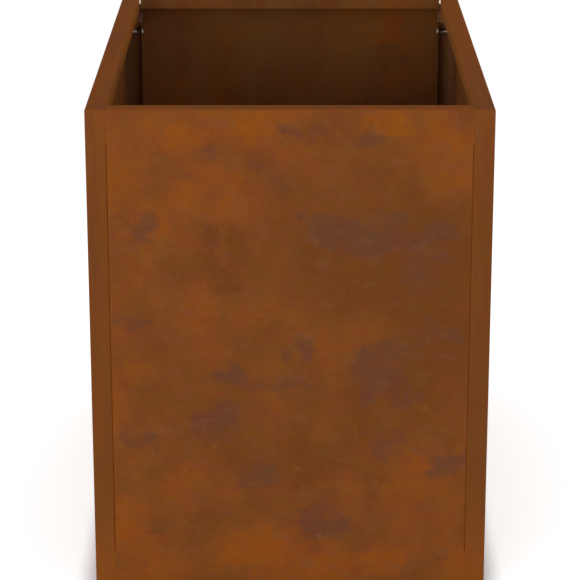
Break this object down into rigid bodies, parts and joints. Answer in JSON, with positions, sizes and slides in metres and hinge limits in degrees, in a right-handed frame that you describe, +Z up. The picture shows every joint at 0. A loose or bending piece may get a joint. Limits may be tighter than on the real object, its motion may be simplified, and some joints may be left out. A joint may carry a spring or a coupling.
{
  "type": "planter box",
  "caption": "Rectangular planter box of folded weathering steel sheet with a flat lipped rim, screwed corner joints and a drained base tray.",
  "frame": {"origin": "on the ground, under the middle of the box", "axes": "+X towards the right side panel (across the width), +Y towards the rear end panel (along the length), +Z up"},
  "size_m": [0.4, 0.6, 0.5],
  "materials": {
    "weathering_steel": "matt rust patina",
    "zinc_plated_steel": "zinc plated"
  },
  "bodies": {
    "root": {"side_panel_left": "weathering_steel", "side_panel_right": "weathering_steel", "end_panel_front": "weathering_steel", "end_panel_rear": "weathering_steel", "base_tray": "weathering_steel", "corner_screws_front_left": "zinc_plated_steel", "corner_screws_front_right": "zinc_plated_steel", "corner_screws_rear_left": "zinc_plated_steel", "corner_screws_rear_right": "zinc_plated_steel", "corner_nuts_front_left": "zinc_plated_steel", "corner_nuts_front_right": "zinc_plated_steel", "corner_nuts_rear_left": "zinc_plated_steel", "corner_nuts_rear_right": "zinc_plated_steel", "rim_screw_front_left": "zinc_plated_steel", "rim_screw_front_right": "zinc_plated_steel", "rim_screw_rear_left": "zinc_plated_steel", "rim_screw_rear_right": "zinc_plated_steel", "rim_nut_front_left": "zinc_plated_steel", "rim_nut_front_right": "zinc_plated_steel", "rim_nut_rear_left": "zinc_plated_steel", "rim_nut_rear_right": "zinc_plated_steel"}
  },
  "joints": []
}
